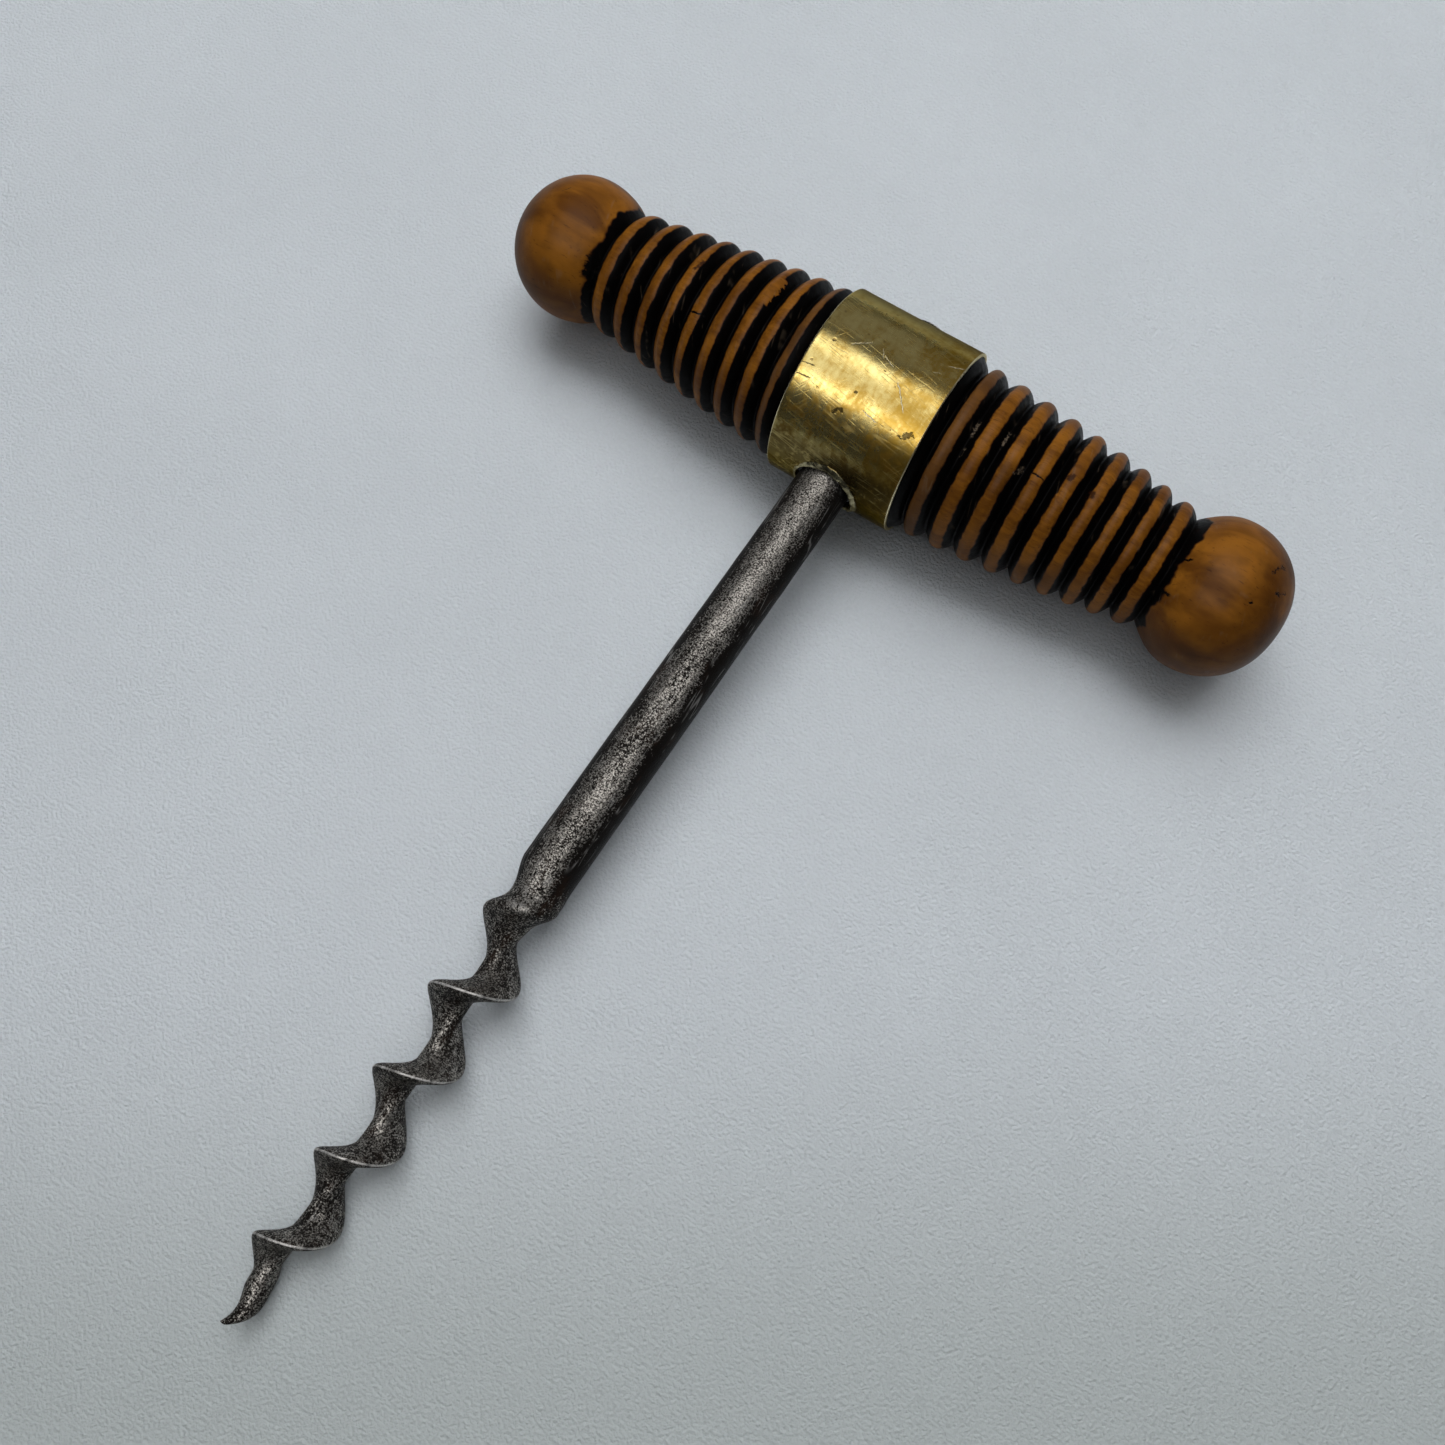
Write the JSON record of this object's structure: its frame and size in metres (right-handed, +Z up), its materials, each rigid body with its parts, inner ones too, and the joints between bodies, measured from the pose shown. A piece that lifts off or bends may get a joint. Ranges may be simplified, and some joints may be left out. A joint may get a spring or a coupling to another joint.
{
  "type": "t-handle corkscrew",
  "caption": "Direct-pull corkscrew with a ridged, ball-ended turned wooden cross handle, a brass sleeve at its middle and a one-piece steel shank with a right-handed worm.",
  "frame": {"origin": "centre of the bounding box in plan, at the height of the table that the corkscrew lies on", "axes": "+X along the handle, +Y from the worm's point towards the handle, +Z up from the table"},
  "size_m": [0.0952, 0.1262, 0.0214],
  "materials": {
    "turned_wood": "stained, oiled and worn smooth",
    "sleeve_brass": "aged and hand-polished",
    "forged_steel": "dark patina, worn bright on the high spots"
  },
  "bodies": {
    "root": {"handle": "turned_wood", "sleeve": "sleeve_brass", "screw": "forged_steel"}
  },
  "joints": []
}
